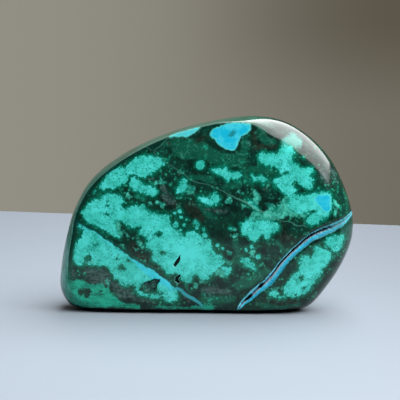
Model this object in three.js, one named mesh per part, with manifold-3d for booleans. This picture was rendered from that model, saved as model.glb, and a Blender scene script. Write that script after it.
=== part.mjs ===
// A hand-polished freeform of chrysocolla in malachite: one stone, with a gently crowned face, a domed back,
// an edge that is crisp round the left and the top and broad on the upper right, a flat ground underside to
// stand on, and an open fissure across the lower right of the face. All sizes are in millimetres. +Z is up,
// the face looks along -Y, +X is to the right of somebody looking at the face, and the origin is on the
// underside, below the middle of the stone.
import * as THREE from "three";
import { mergeVertices } from "three/addons/utils/BufferGeometryUtils.js";
import Module from "manifold-3d";

// Driving dimensions of the two sides, the face and the back. A side's edge lies depth in front of or behind
// the widest outline, and its middle, given as x and z, stands out by crown more.
const FACE = { towards: -1, depth: 8, crown: 1.6, middle: new THREE.Vector2(0, 30) };
const BACK = { towards: 1, depth: 18, crown: 6, middle: new THREE.Vector2(3, 27) };
const SOLE_ROUNDING = 3; // up to what height the stone is eased round into its flat underside

// The underside's strip below the face is cleared of the ground: from nothing at one distance behind or in
// front of the widest outline to the full height at another.
const CLEARED = { height: 1.2, starts: 1, full: -6 };

// The widest outline, clockwise from the bottom left for somebody looking at the face. Each point gives x, z,
// how wide the edge from the outline to the face is, how crisp that edge's ridge is, from 0, a plain round, to
// 1, a bevel that turns sharply into the face, and how wide the round from the outline to the back is. What
// lies below zero is ground away by the underside.
const OUTLINE = [
  [-33, -5.6, 10, 0, 13],
  [-43.6, -0.4, 7, 0.1, 15],
  [-48.3, 6.5, 4.0, 0.4, 17],
  [-48.1, 15.5, 3.0, 0.8, 17],
  [-46.2, 25.5, 2.2, 0.9, 17],
  [-43.7, 34, 1.4, 0.9, 18],
  [-38.3, 43.4, 1.4, 0.9, 18],
  [-28, 51.8, 1.2, 0.9, 18],
  [-13, 59.1, 0.8, 0.9, 18],
  [3, 63.5, 0.7, 0.8, 18],
  [16, 64.9, 2.6, 0.5, 18],
  [25.5, 63.2, 8.0, 0.1, 18],
  [33.6, 58.4, 11, 0, 18],
  [40.4, 51.4, 10, 0, 18],
  [45.3, 42.4, 7, 0, 18],
  [48.3, 32.8, 5, 0.2, 17],
  [48.4, 25.4, 5, 0.2, 17],
  [45.9, 17.8, 6, 0.1, 17],
  [40.8, 9.2, 7, 0, 16],
  [33.8, 1.2, 8, 0, 15],
  [21, -5.6, 10, 0, 13],
  [-6, -6.2, 10, 0, 12],
];

// The open stretches of the fissure: x, z and half the width of the gap along its middle.
const FISSURE_DEPTH = 3; // how deep the gaps run in behind the edge of the face
const FISSURE_REACH = 4; // how far in front of the edge of the face their cutters start
const FISSURE_GAPS = [
  [
    [41.3, 29.2, 0.1],
    [38.6, 28.6, 0.3],
    [34.0, 26.3, 0.35],
    [30.1, 23.1, 0.4],
    [26.5, 19.7, 0.35],
    [23.9, 16.6, 0.3],
    [21.3, 13.0, 0.1],
  ],
  [
    [19.4, 10.9, 0.15],
    [18.3, 9.8, 0.55],
    [17.1, 8.8, 0.2],
  ],
  [
    [15.4, 6.6, 0.15],
    [14.3, 5.6, 0.45],
    [12.9, 4.4, 0.2],
  ],
];

// How finely the stone is divided.
const RAYS = 104; // round the outline
const EDGE_RINGS = 9; // across the rounding of an edge
const MIDDLE_RINGS = 4; // from there to the middle of a side
const GAP_STEPS = 3; // along a gap of the fissure, from one of its points to the next

// Eases a height near the underside up into it, and leaves a greater height alone. The underside is flat on
// the ground except where it's cleared, under the face.
function groundHeight(y, z) {
  const underside = CLEARED.height * THREE.MathUtils.smoothstep(-y, -CLEARED.starts, -CLEARED.full);
  const over = z - underside;
  if (over >= SOLE_ROUNDING) return z;
  const above = Math.max(over + SOLE_ROUNDING, 0);
  return underside + (above * above) / (4 * SOLE_ROUNDING);
}

// Where the rays start: places evenly spaced round the outline, each with its edges to the two sides.
function rimStarts() {
  const closed = (points) => new THREE.CatmullRomCurve3(points, true);
  const places = closed(OUTLINE.map(([x, z]) => new THREE.Vector3(x, z, 0)));
  const edges = closed(OUTLINE.map((point) => new THREE.Vector3(...point.slice(2))));
  return Array.from({ length: RAYS }, (_, ray) => {
    const along = places.getUtoTmapping(ray / RAYS);
    const place = places.getPoint(along);
    const edge = edges.getPoint(along);
    return {
      place: new THREE.Vector2(place.x, place.y),
      face: { width: edge.x, crispness: THREE.MathUtils.clamp(edge.y, 0, 1) },
      back: { width: edge.z, crispness: 0 },
    };
  });
}

// The section through an edge, from the outline (0, 0) in to where the side's middle begins (width, depth).
// It leaves the outline straight along the depth, and a crisper ridge keeps it straight for longer.
function edgeSection(width, depth, crispness) {
  const leaving = THREE.MathUtils.lerp(0.55, 0.2, crispness);
  const arriving = THREE.MathUtils.lerp(0.45, 0.95, crispness);
  return new THREE.CubicBezierCurve(
    new THREE.Vector2(0, 0),
    new THREE.Vector2(0, depth * leaving),
    new THREE.Vector2(width * arriving, depth),
    new THREE.Vector2(width, depth),
  );
}

// One ray of a side: points from the outline round the edge and in towards the side's middle, but not the
// middle itself. The crown swells the whole ray, from nothing at the outline to its most at the middle.
function rayPoints(place, edge, side) {
  const inward = side.middle.clone().sub(place);
  const length = inward.length();
  const section = edgeSection(edge.width, side.depth, edge.crispness).getPoints(EDGE_RINGS);
  for (let step = 1; step < MIDDLE_RINGS; step++) {
    const far = THREE.MathUtils.lerp(edge.width, length, step / MIDDLE_RINGS);
    section.push(new THREE.Vector2(far, side.depth));
  }
  return section.map((point) => {
    const left = 1 - point.x / length;
    const out = point.y + side.crown * (1 - left * left);
    const at = place.clone().addScaledVector(inward, point.x / length);
    const y = side.towards * out;
    return new THREE.Vector3(at.x, y, groundHeight(y, at.y));
  });
}

// The whole stone as one closed skin, before the fissure is cut: rings from the face's middle out to the
// widest outline and in again to the back's middle.
function stoneSkin() {
  const starts = rimStarts();
  const faceRays = starts.map((start) => rayPoints(start.place, start.face, FACE));
  const backRays = starts.map((start) => rayPoints(start.place, start.back, BACK));
  const ringsOf = (rays) => rays[0].map((_, ring) => rays.map((ray) => ray[ring]));
  const rings = [...ringsOf(faceRays).reverse(), ...ringsOf(backRays).slice(1)]; // both begin with the outline
  const middleOf = (side) =>
    new THREE.Vector3(side.middle.x, side.towards * (side.depth + side.crown), side.middle.y);
  return skinOver(middleOf(FACE), rings, middleOf(BACK));
}

// Triangles over rings of equally many points, closed by a fan at each end.
function skinOver(first, rings, last) {
  const count = rings[0].length;
  const end = rings.length - 1;
  const points = [first, ...rings.flat(), last];
  const at = (ring, ray) => 1 + ring * count + (ray % count);
  const index = [];
  for (let ray = 0; ray < count; ray++) {
    index.push(0, at(0, ray + 1), at(0, ray));
    for (let ring = 0; ring < end; ring++) {
      const [a, b] = [at(ring, ray), at(ring, ray + 1)];
      const [c, d] = [at(ring + 1, ray), at(ring + 1, ray + 1)];
      index.push(a, b, c, b, d, c);
    }
    index.push(at(end, ray), at(end, ray + 1), points.length - 1);
  }
  const skin = new THREE.BufferGeometry().setFromPoints(points);
  skin.setIndex(index);
  return skin;
}

// A cutter for one open stretch of the fissure: a leaf-shaped outline run back from in front of the face.
function gapCutter(gap) {
  const middle = new THREE.CatmullRomCurve3(gap.map(([x, z, half]) => new THREE.Vector3(x, z, half)));
  const upper = [];
  const lower = [];
  const steps = (gap.length - 1) * GAP_STEPS;
  for (let step = 0; step <= steps; step++) {
    const point = middle.getPoint(step / steps);
    const along = middle.getTangent(step / steps);
    const aside = new THREE.Vector2(-along.y, along.x).normalize().multiplyScalar(point.z);
    upper.push(new THREE.Vector2(point.x, point.y).add(aside));
    lower.unshift(new THREE.Vector2(point.x, point.y).sub(aside));
  }
  const leaf = new THREE.Shape([...upper, ...lower]);
  const cutter = new THREE.ExtrudeGeometry(leaf, {
    depth: FISSURE_REACH + FISSURE_DEPTH,
    bevelEnabled: false,
  });
  cutter.rotateX(Math.PI / 2); // the leaf stands up, and runs forward from where it was drawn
  cutter.translate(0, FISSURE_DEPTH - FACE.depth, 0);
  return cutter;
}

const wasm = await Module();
wasm.setup();

// A closed geometry as a solid that can be cut.
function solidOf(geometry) {
  const bare = geometry.clone();
  bare.deleteAttribute("normal");
  bare.deleteAttribute("uv");
  const merged = mergeVertices(bare);
  return new wasm.Manifold(
    new wasm.Mesh({
      numProp: 3,
      vertProperties: merged.getAttribute("position").array,
      triVerts: new Uint32Array(merged.getIndex().array),
    }),
  );
}

// A solid's surface as a geometry again.
function geometryOf(solid) {
  const { vertProperties, triVerts } = solid.getMesh();
  const surface = new THREE.BufferGeometry();
  surface.setAttribute("position", new THREE.BufferAttribute(vertProperties, 3));
  surface.setIndex(new THREE.BufferAttribute(triVerts, 1));
  return surface;
}

// The finished stone, moved so that the origin is under the middle of its box.
function stoneGeometry() {
  const gaps = FISSURE_GAPS.map((gap) => solidOf(gapCutter(gap)));
  const cut = gaps.reduce((stone, gap) => stone.subtract(gap), solidOf(stoneSkin()));
  const surface = geometryOf(cut);
  surface.computeBoundingBox();
  const middle = surface.boundingBox.getCenter(new THREE.Vector3());
  surface.translate(-middle.x, -middle.y, -surface.boundingBox.min.z);
  surface.computeVertexNormals();
  return surface;
}

const stone = new THREE.Mesh(
  stoneGeometry(),
  new THREE.MeshStandardMaterial({ color: 0x1f8f7c, roughness: 0.15, metalness: 0 }),
);
stone.name = "stone";

const specimen = new THREE.Group();
specimen.add(stone);

export default specimen;
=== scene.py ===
# %% [markdown]
# # A polished chrysocolla specimen
#
# The real object is one hand-polished stone, bright turquoise chrysocolla and sky-blue seams grown through
# dark green malachite. It stands on a small flat ground underneath, leans on nothing, and has no other
# parts. This lesson loads the measured solid, models the smooth stone that stands in for it, paints the
# mineral pattern into the mesh, builds the polish from shader nodes, and lights it like a small studio
# shot.

import itertools
import math

import bpy
import numpy as np
from mathutils import Matrix, Vector


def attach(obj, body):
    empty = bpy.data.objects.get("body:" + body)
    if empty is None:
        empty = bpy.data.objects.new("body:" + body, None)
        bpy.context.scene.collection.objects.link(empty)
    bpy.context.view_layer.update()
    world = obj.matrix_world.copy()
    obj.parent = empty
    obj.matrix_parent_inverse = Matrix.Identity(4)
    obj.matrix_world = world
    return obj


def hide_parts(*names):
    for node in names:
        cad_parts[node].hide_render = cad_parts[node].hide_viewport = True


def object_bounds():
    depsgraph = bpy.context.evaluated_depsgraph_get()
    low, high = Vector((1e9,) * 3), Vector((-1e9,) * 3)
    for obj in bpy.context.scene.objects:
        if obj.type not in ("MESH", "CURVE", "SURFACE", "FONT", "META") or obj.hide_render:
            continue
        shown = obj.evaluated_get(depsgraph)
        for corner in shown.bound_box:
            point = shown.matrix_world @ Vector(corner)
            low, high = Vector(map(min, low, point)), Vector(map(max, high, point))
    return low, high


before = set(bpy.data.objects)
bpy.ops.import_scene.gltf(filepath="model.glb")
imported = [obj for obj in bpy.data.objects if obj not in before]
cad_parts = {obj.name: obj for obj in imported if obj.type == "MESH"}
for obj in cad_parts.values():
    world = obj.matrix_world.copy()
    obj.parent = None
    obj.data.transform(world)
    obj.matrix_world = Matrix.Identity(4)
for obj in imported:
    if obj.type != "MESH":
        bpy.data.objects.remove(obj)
solid_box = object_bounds()
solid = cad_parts["stone"]
MM = 0.001  # the stone is thought out in millimetres, and a scene is in metres
print("solid box", [[round(value / MM, 2) for value in corner] for corner in solid_box])

# %% [markdown]
# ## The rough block
#
# A stone could be sculpted freely, but this one must keep the measured outline. So it starts as a cube
# whose sides are cut into a fine even net and swollen into a ball. A ball made this way has no crowded
# poles, which matters on a polished face, where every uneven spot shows in the gloss. The side that
# becomes the face is divided more finely than the others, since the eye rests there and it carries the
# drawn pattern.

# %% The rough block
SIDE_CUTS = 59  # cuts across a side of the cube
FACE_CUTS = 3  # further cuts across each face on the side that becomes the face
BALL_RADIUS = 40 * MM

bpy.ops.object.select_all(action="DESELECT")
bpy.ops.mesh.primitive_cube_add(size=2 * BALL_RADIUS)
stone = bpy.context.object
stone.name = stone.data.name = "polished_stone"
bpy.ops.object.mode_set(mode="EDIT")
bpy.ops.mesh.select_all(action="SELECT")
bpy.ops.mesh.subdivide(number_cuts=SIDE_CUTS)
bpy.ops.mesh.select_all(action="DESELECT")
bpy.ops.mesh.select_mode(type="FACE")
bpy.ops.object.mode_set(mode="OBJECT")
towards_viewer = np.zeros(len(stone.data.polygons) * 3)
stone.data.polygons.foreach_get("normal", towards_viewer)
stone.data.polygons.foreach_set("select", towards_viewer.reshape(-1, 3)[:, 1] < -0.9)
bpy.ops.object.mode_set(mode="EDIT")
bpy.ops.mesh.subdivide(number_cuts=FACE_CUTS)
bpy.ops.mesh.select_all(action="SELECT")
bpy.ops.transform.tosphere(value=1)
bpy.ops.object.mode_set(mode="OBJECT")
print("rough block", len(stone.data.vertices), "points", len(stone.data.polygons), "faces")

# %% [markdown]
# ## The outline and the two sides
#
# The stone's shape is told by its widest outline, in (x, z) as seen from the front, and by how the edge
# runs from that outline to the face and to the back. These are the same figures that the solid was made
# from. The solid has flat facets between them; here the curves are followed truly, so the polish can be
# smooth.

# %% The outline and the two sides
# x, z, width of the edge to the face, how crisp its ridge is, width of the round to the back
OUTLINE = np.array([
    (-33, -5.6, 10, 0, 13), (-43.6, -0.4, 7, 0.1, 15), (-48.3, 6.5, 4, 0.4, 17), (-48.1, 15.5, 3, 0.8, 17),
    (-46.2, 25.5, 2.2, 0.9, 17), (-43.7, 34, 1.4, 0.9, 18), (-38.3, 43.4, 1.4, 0.9, 18),
    (-28, 51.8, 1.2, 0.9, 18), (-13, 59.1, 0.8, 0.9, 18), (3, 63.5, 0.7, 0.8, 18), (16, 64.9, 2.6, 0.5, 18),
    (25.5, 63.2, 8, 0.1, 18), (33.6, 58.4, 11, 0, 18), (40.4, 51.4, 10, 0, 18), (45.3, 42.4, 7, 0, 18),
    (48.3, 32.8, 5, 0.2, 17), (48.4, 25.4, 5, 0.2, 17), (45.9, 17.8, 6, 0.1, 17), (40.8, 9.2, 7, 0, 16),
    (33.8, 1.2, 8, 0, 15), (21, -5.6, 10, 0, 13), (-6, -6.2, 10, 0, 12),
])
FACE_DEPTH, FACE_CROWN, FACE_MIDDLE = 8, 1.6, np.array([0, 30])
BACK_DEPTH, BACK_CROWN, BACK_MIDDLE = 18, 6, np.array([3, 27])
SOLE_ROUNDING = 3  # up to what height the stone is eased round into its flat underside
CLEARED_HEIGHT, CLEARED_STARTS, CLEARED_FULL = 1.2, 1, -6  # the underside is raised a little below the face
FACE_EDGE_SHARE, BACK_EDGE_SHARE = 0.3, 0.42  # how much of the way to a side's middle is spent on its edge
LEAVING, ARRIVING = (0.55, 0.2), (0.45, 0.95)  # reach of the edge's two bends: a plain round, a crisp ridge
CURVE_STEPS = 200  # for measuring along the outline
START_ANGLE = 227  # degrees; where the outline's first point lies, seen from the middle
Y_SHIFT = (BACK_DEPTH + BACK_CROWN - FACE_DEPTH - FACE_CROWN) / 2  # the middle of the depth is y = 0


def closed_curve(points, t):
    """Places at t, from 0 to 1, on a smooth closed curve through the points."""
    count = len(points)
    along = t * count
    before = np.floor(along).astype(int)
    left = (along - before)[:, None]
    p0, p1, p2, p3 = (points[(before + step) % count] for step in (-1, 0, 1, 2))
    gap0, gap1, gap2 = (np.sqrt(np.linalg.norm(b - a, axis=1, keepdims=True))
                        for a, b in ((p0, p1), (p1, p2), (p2, p3)))
    gap0, gap2 = (np.where(gap < 1e-4, np.maximum(gap1, 1e-4), gap) for gap in (gap0, gap2))
    gap1 = np.maximum(gap1, 1e-4)
    leave = ((p1 - p0) / gap0 - (p2 - p0) / (gap0 + gap1) + (p2 - p1) / gap1) * gap1
    arrive = ((p2 - p1) / gap1 - (p3 - p1) / (gap1 + gap2) + (p3 - p2) / gap2) * gap1
    bend = -3 * p1 + 3 * p2 - 2 * leave - arrive
    twist = 2 * p1 - 2 * p2 + leave + arrive
    return p1 + leave * left + bend * left**2 + twist * left**3


def evenly(points, share):
    """The t at each share of the way round the curve, measured along it."""
    t = np.linspace(0, 1, CURVE_STEPS + 1)
    steps = np.linalg.norm(np.diff(closed_curve(points, t), axis=0), axis=1)
    walked = np.concatenate([[0], np.cumsum(steps)])
    return np.interp(share * walked[-1], walked, t)


def side_places(inwards, depth, crown, middle, edge_share, width, crisp, place):
    """Places on one side of the stone: out from the outline's plane, and where in x and z."""
    on_edge = np.clip(inwards / edge_share, 0, 1)
    leaving = depth * (LEAVING[0] + (LEAVING[1] - LEAVING[0]) * crisp)
    arriving = width * (ARRIVING[0] + (ARRIVING[1] - ARRIVING[0]) * crisp)
    rest = 1 - on_edge
    across = 3 * rest * on_edge**2 * arriving + on_edge**3 * width
    out = 3 * rest**2 * on_edge * leaving + (3 * rest * on_edge**2 + on_edge**3) * depth
    inward = middle - place
    length = np.linalg.norm(inward, axis=1)
    beyond = np.clip((inwards - edge_share) / (1 - edge_share), 0, 1)
    across = across + beyond * (length - width)
    left = 1 - across / length
    past_ridge = beyond * (length - width) - (1 - on_edge) * width
    return out + crown * (1 - left**2), place + inward * (across / length)[:, None], on_edge, past_ridge


def smooth_step(low, high, value):
    """0 at low, 1 at high, and a soft rise between them."""
    t = np.clip((value - low) / (high - low), 0, 1)
    return t * t * (3 - 2 * t)


def points_of(thing):
    flat = np.zeros(len(thing.data.vertices) * 3)
    thing.data.vertices.foreach_get("co", flat)
    return flat.reshape(-1, 3)


def stone_shape(ball):
    """For the ball's points: the stone's in mm, how far out on the edge, mm past the ridge, how crisp it is.

    How far out is 0 on the face, 1 at the widest outline, and from there up to 2 on the back."""
    ball = ball / np.linalg.norm(ball, axis=1, keepdims=True)
    share = np.mod((START_ANGLE - np.degrees(np.arctan2(ball[:, 2], ball[:, 0]))) / 360, 1)
    inwards = np.arcsin(np.clip(np.abs(ball[:, 1]), 0, 1)) / (math.pi / 2)
    t = evenly(OUTLINE[:, :2], share)
    place = closed_curve(OUTLINE[:, :2], t)
    width, crisp, back_width = closed_curve(OUTLINE[:, 2:], t).T
    crisp = np.clip(crisp, 0, 1)
    face_out, face_at, face_edge, past_ridge = side_places(
        inwards, FACE_DEPTH, FACE_CROWN, FACE_MIDDLE, FACE_EDGE_SHARE, width, crisp, place)
    back_out, back_at, back_edge, _ = side_places(
        inwards, BACK_DEPTH, BACK_CROWN, BACK_MIDDLE, BACK_EDGE_SHARE, back_width, 0 * crisp, place)
    in_front = ball[:, 1] < 0
    at = np.where(in_front[:, None], face_at, back_at)
    y = np.where(in_front, -face_out, back_out)
    underside = CLEARED_HEIGHT * smooth_step(-CLEARED_STARTS, -CLEARED_FULL, -y)
    over = at[:, 1] - underside
    eased = underside + np.maximum(over + SOLE_ROUNDING, 0) ** 2 / (4 * SOLE_ROUNDING)
    height = np.where(over >= SOLE_ROUNDING, at[:, 1], eased)
    shape = np.stack([at[:, 0], y - Y_SHIFT, height], axis=1)
    edge = np.where(in_front, 1 - face_edge, 1 + back_edge)
    return np.clip(shape, lowest, highest), edge, np.where(in_front, past_ridge, -width), crisp


lowest, highest = (np.array(corner) / MM for corner in solid_box)
shape, rim, past_ridge, crispness = stone_shape(points_of(stone))
print("stone", shape.min(0).round(2), shape.max(0).round(2))

# %% [markdown]
# ## Random grain
#
# Minerals are never even, so most of what follows is roughened by a smooth random field. Shader nodes have
# such noise built in, but here it's also needed point by point on the mesh, so it's written out once:
# random slopes at the corners of a lattice, blended between them. The seed makes it come out the same
# every time.

# %% Random grain
SWING = 1.7  # brings the sums of slopes to about -1 to 1


def grain(places, size, seed, octaves=1):
    """Smooth random numbers, about -1 to 1, whose bumps are about size millimetres across."""
    random = np.random.default_rng(seed)
    shuffled = random.permutation(256)
    slopes = random.normal(size=(256, 3))
    slopes /= np.linalg.norm(slopes, axis=1, keepdims=True)
    total = np.zeros(len(places))
    for octave in range(octaves):
        scaled = places / size * 2**octave + random.uniform(0, 90, 3)
        cell = np.floor(scaled).astype(int)
        inside = scaled - cell
        fade = inside**3 * (inside * (inside * 6 - 15) + 10)
        for corner in itertools.product((0, 1), repeat=3):
            mixed = 0
            for axis in range(3):
                mixed = shuffled[(mixed + cell[:, axis] + corner[axis]) & 255]
            share = np.prod(np.where(corner, fade, 1 - fade), axis=1)
            total += (slopes[mixed] * (inside - corner)).sum(1) * share * SWING / 2**octave
    return total


print("grain at three points", grain(shape[:3], 10, seed=1).round(2))

# %% [markdown]
# ## Painting with strokes
#
# The mineral patches are drawn as a lapidary would sketch them on the face: strokes whose width changes
# from dot to dot, and outlined patches, each in millimetres across and up the face. For every point of the
# mesh the sketch answers how deep inside the nearest stroke it lies. That depth is kept as a number on the
# mesh, and the shader turns it into colour, halo and frayed edge. It's sharper and lighter than painting
# an image.

# %% Painting with strokes
def stroke_depth(places, strokes, blend=0.7):
    """Depth of each place inside the strokes, in mm, negative outside; strokes that meet flow together."""
    pull = np.zeros(len(places))
    for stroke in strokes:
        dots = np.array(stroke, float)
        starts, ends = (dots[:-1], dots[1:]) if len(dots) > 1 else (dots, dots)
        best = np.full(len(places), -99.0)
        for start, end in zip(starts, ends):
            run = end[:2] - start[:2]
            t = np.clip((places - start[:2]) @ run / max(run @ run, 1e-9), 0, 1)
            away = np.linalg.norm(places - start[:2] - t[:, None] * run, axis=1)
            best = np.maximum(best, start[2] + t * (end[2] - start[2]) - away)
        pull += np.exp(np.clip(best / blend, -40, 40))
    return blend * np.log(pull + 1e-17)


def patch_depth(places, corners):
    """Depth of each place inside an outlined patch, in mm, negative outside."""
    corners = np.array(corners, float)
    away = np.full(len(places), 99.0)
    inside = np.zeros(len(places), bool)
    for start, end in zip(corners, np.roll(corners, -1, axis=0)):
        run = end - start
        t = np.clip((places - start) @ run / (run @ run), 0, 1)
        away = np.minimum(away, np.linalg.norm(places - start - t[:, None] * run, axis=1))
        crosses = (start[1] > places[:, 1]) != (end[1] > places[:, 1])
        with np.errstate(divide="ignore", invalid="ignore"):
            at_x = start[0] + (places[:, 1] - start[1]) / run[1] * run[0]
        inside ^= crosses & (places[:, 0] < at_x)
    return np.where(inside, away, -away)


def any_of(*depths):
    return np.maximum.reduce(depths)


print("a dot of 1 mm is", stroke_depth(np.zeros((1, 2)), [[(0, 0, 1)]]).round(2), "mm deep at its middle")

# %% [markdown]
# ## The open fissure and its net
#
# A crack once ran across the lower right of the face, and blue chrysocolla lined its two walls without
# quite closing it. The lining stands a little below the polish, and a black gap runs along its middle.
# There are also two small slits in the turquoise, and one pitted hollow. All of them need a finer net than
# the face has, so the faces near them are divided again on the ball, and the stone is shaped anew from it.

# %% The open fissure and its net
# x, z, how far the lining reaches above and below the gap's middle, half the gap
FISSURE = np.array([
    (10.9, 2.2, 0.5, 0.6, -0.3), (11.9, 3.6, 0.8, 0.9, -0.2), (13.1, 4.8, 1.1, 1.1, 0.3),
    (14.4, 5.9, 1.3, 1.3, 0.4), (15.7, 7.2, 1.4, 1.4, -0.1), (17.1, 8.7, 1.2, 1.6, 0.15),
    (18.2, 9.8, 1, 1.9, 0.55), (19.4, 10.8, 0.9, 2, -0.05), (20.4, 11.9, 0.9, 2.1, -0.1),
    (21.4, 13.2, 0.85, 2.1, 0.08), (22.6, 14.7, 0.8, 2.1, 0.16), (23.9, 16.6, 0.75, 2, 0.2),
    (25, 18.1, 0.75, 2, 0.22), (26.5, 19.7, 0.75, 1.9, 0.24), (28.1, 21.3, 0.75, 1.9, 0.28),
    (30.1, 23.1, 0.75, 1.9, 0.34), (32, 24.8, 0.8, 1.9, 0.26), (34, 26.3, 0.8, 1.9, 0.32),
    (36.3, 27.5, 0.9, 2, 0.26), (38.6, 28.5, 1, 1.9, 0.3), (40.8, 29.2, 1.1, 1.7, 0.12),
    (42.8, 30.1, 1.1, 1.4, -0.1), (44.8, 31.2, 0.9, 1.1, -0.3), (47.6, 33.2, 0.6, 0.7, -0.3),
])
SLITS = [
    [(-8.5, 19.8, 0.05), (-8.8, 18.6, 0.4), (-9.4, 17.5, 0.6), (-10.2, 16.4, 0.45), (-10, 15.9, 0.2)],
    [(-8.7, 12.9, 0.3), (-9.5, 12, 0.55), (-9.9, 11.2, 0.4), (-9, 10.7, 0.4)],
]
HOLLOW = [
    (-20.1, 10.5), (-18.5, 11), (-16.5, 11.6), (-14.9, 11.5), (-15.9, 10.2), (-16.5, 8.9), (-16.9, 7.9),
    (-18.5, 7.5), (-19.8, 7.9), (-20.3, 9.2),
]


def along_line(places, line):
    """Signed distance to a line through points, positive on its left, and the line's other figures there."""
    nearest = np.full(len(places), 1e9)
    figures = np.zeros((len(places), line.shape[1] - 2))
    for start, end in zip(line[:-1], line[1:]):
        run = end[:2] - start[:2]
        t = np.clip((places - start[:2]) @ run / (run @ run), 0, 1)[:, None]
        offset = places - start[:2] - t * run
        away = np.linalg.norm(offset, axis=1)
        side = np.sign(run[0] * offset[:, 1] - run[1] * offset[:, 0])
        closer = away < np.abs(nearest)
        nearest = np.where(closer, away * np.where(side == 0, 1, side), nearest)
        figures = np.where(closer[:, None], start[2:] + t * (end[2:] - start[2:]), figures)
    return nearest, figures


def rounded_line(line, steps=4):
    """The same line with its corners rounded: more points, on a smooth curve through the given ones."""
    t = (np.arange((len(line) - 1) * steps + 1) / steps)[:, None]
    before = np.clip(np.floor(t[:, 0]).astype(int), 0, len(line) - 2)
    u = t - before[:, None]
    ends = np.concatenate([[2 * line[0] - line[1]], line, [2 * line[-1] - line[-2]]])
    p0, p1, p2, p3 = (ends[before + step] for step in range(4))
    return 0.5 * (2 * p1 + (p2 - p0) * u + (2 * p0 - 5 * p1 + 4 * p2 - p3) * u**2
                  + (3 * p1 - p0 - 3 * p2 + p3) * u**3)


NET_MARGIN = 0.5  # mm around an opening that also gets the fine net

fissure_line = rounded_line(FISSURE)
flat = shape[:, [0, 2]]
beside, reach = along_line(flat, fissure_line)
lining_half = np.where(beside > 0, reach[:, 0], reach[:, 1])
opening = any_of(lining_half - np.abs(beside), stroke_depth(flat, SLITS, 0.2), patch_depth(flat, HOLLOW))
fine_points = (shape[:, 1] < -Y_SHIFT) & (opening > -NET_MARGIN)
fine_faces = [any(fine_points[corner] for corner in face.vertices) for face in stone.data.polygons]
bpy.ops.object.mode_set(mode="EDIT")
bpy.ops.mesh.select_all(action="DESELECT")
bpy.ops.object.mode_set(mode="OBJECT")
stone.data.polygons.foreach_set("select", fine_faces)
bpy.ops.object.mode_set(mode="EDIT")
bpy.ops.mesh.subdivide(number_cuts=1)
bpy.ops.object.mode_set(mode="OBJECT")
shape, rim, past_ridge, crispness = stone_shape(points_of(stone))
triangles = sum(len(face.vertices) - 2 for face in stone.data.polygons)
print("net", len(shape), "points", triangles, "triangles")

# %% [markdown]
# ## Where the paint goes
#
# All drawing is done flat, in x across and z up the face. No border in a real stone is ruler-smooth, so
# the points are wobbled by the random grain before they're looked up in the sketch. Every drawn edge then
# wobbles too. Small and fine things wobble less, or they would fall apart.

# %% Where the paint goes
WOBBLE = ((3.2, 0.35), (1.3, 0.3))  # size of the waves and how far they shift a point, in mm
FINE_WOBBLE, FISSURE_WOBBLE = 0.4, 0.2  # shares of that for fine things and for the fissure

flat = shape[:, [0, 2]]
wobble = np.zeros(flat.shape)
for order, (size, shift) in enumerate(WOBBLE):
    for axis in (0, 1):
        wobble[:, axis] += shift * grain(shape, size, seed=20 + 2 * order + axis)
sketch, straight = flat + wobble, flat + wobble * FINE_WOBBLE
print("points move by up to", np.linalg.norm(wobble, axis=1).max().round(2), "mm")

# %% [markdown]
# ## The turquoise
#
# Chrysocolla grew here as rounded masses, crowded with tiny dark specks where malachite shows through, and
# it frays into separate grains at its rims. The big masses are outlined, the small ones are strokes and
# dots.

# %% The turquoise
A_LOW = [
    (-34.8, 41.7), (-34.1, 40.6), (-33.2, 40.7), (-32.2, 41.4), (-30.9, 41.1), (-29.3, 41.5), (-28.3, 42.4),
    (-27, 43), (-26, 43.8), (-25.7, 44.7), (-26.3, 46.6), (-26.8, 47.6), (-28.9, 48), (-30.2, 47.5),
    (-31.5, 46.6), (-32.8, 45.8), (-33.5, 44.7), (-33.8, 43.4), (-34.6, 42.4),
]
A_HIGH = [
    (-27, 47.6), (-25.7, 48.9), (-24.7, 50.3), (-23.1, 51.2), (-21.8, 51.7), (-20.5, 52.2), (-19.2, 51.7),
    (-17.5, 51.8), (-15.9, 51.6), (-14.9, 51.1), (-14.3, 50.3), (-13.6, 49.8), (-14.3, 48.9), (-15.2, 48),
    (-16.5, 47.5), (-17.5, 46.6), (-17.8, 46), (-18.8, 46), (-20.1, 45), (-21.8, 45.2), (-23.1, 45.7),
    (-24, 46.1), (-25.3, 45.7), (-26.5, 46.2),
]
A_UNDER = [
    (-24.5, 44.7), (-23.7, 45), (-22.4, 44.3), (-21.8, 43.4), (-19.8, 42.7), (-17.8, 42), (-16.9, 41.4),
    (-16.1, 40.4), (-16.5, 39.4), (-17.2, 38.9), (-18.8, 39.1), (-20.5, 39.4), (-21.8, 40.1), (-22.7, 40.7),
    (-24, 41.7), (-24.7, 42.7),
]
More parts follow.
